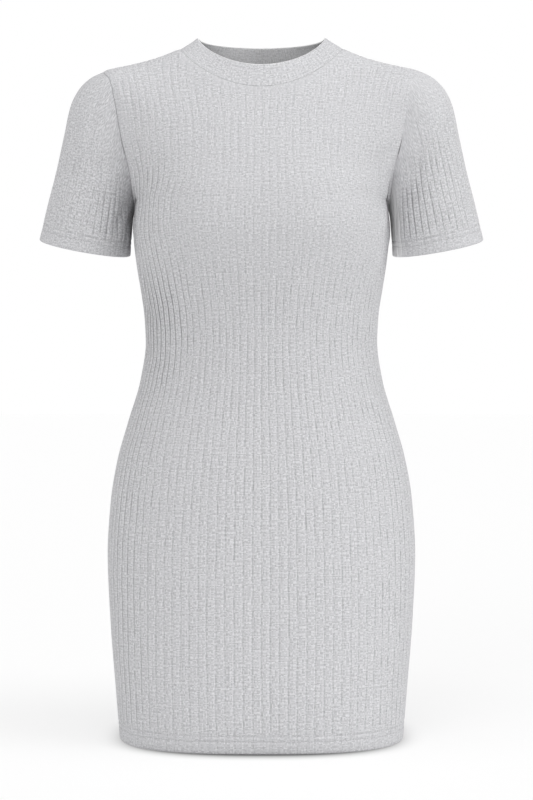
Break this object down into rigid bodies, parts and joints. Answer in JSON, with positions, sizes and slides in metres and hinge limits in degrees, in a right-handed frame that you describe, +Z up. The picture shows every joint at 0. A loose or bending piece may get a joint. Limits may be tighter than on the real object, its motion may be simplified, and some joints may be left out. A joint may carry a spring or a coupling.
{
  "type": "bodycon dress",
  "caption": "Fitted mini dress in light grey marl rib knit with a close neckband, short set-in sleeves and turned-up hems, filled out as worn, hollow and open.",
  "frame": {"origin": "centre of the body between the shoulders, at the level of the high shoulder points where the neckband meets the shoulder seams", "axes": "+Z up towards the neck, -Y out of the front, +X towards the wearer's left, which is the right of the front view"},
  "size_m": [0.5004, 0.2413, 0.7861],
  "materials": {
    "rib_knit": "matt light grey marl rib knit",
    "neckband_knit": "matt light grey marl rib knit, folded double"
  },
  "bodies": {
    "root": {"front": "rib_knit", "back": "rib_knit", "sleeve_left": "rib_knit", "sleeve_right": "rib_knit", "neckband": "neckband_knit"}
  },
  "joints": []
}
